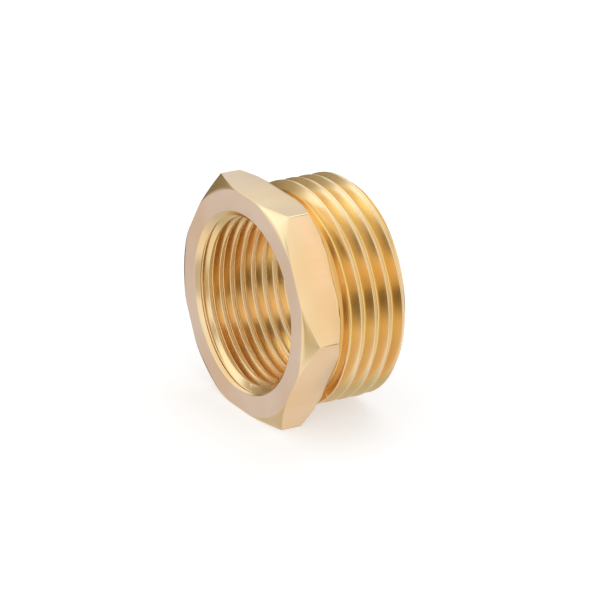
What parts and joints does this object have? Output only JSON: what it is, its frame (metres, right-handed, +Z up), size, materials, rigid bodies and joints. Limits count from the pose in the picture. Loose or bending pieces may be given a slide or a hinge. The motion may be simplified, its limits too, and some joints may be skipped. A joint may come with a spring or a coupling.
{
  "type": "hex bushing",
  "caption": "Brass hex bushing with a chamfered hexagon, a male pipe thread behind a short neck, and a smaller female thread through its bore.",
  "frame": {"origin": "centre of the hexagon's front face, on the bore's axis", "axes": "+X along the bore from the hexagon to the male thread's end, +Z up, square to the top flat of the hexagon it lies on"},
  "size_m": [0.0182, 0.0382, 0.033],
  "materials": {
    "brass": "satin turned brass with fine tool marks"
  },
  "bodies": {
    "root": {"hex_bushing": "brass"}
  },
  "joints": []
}
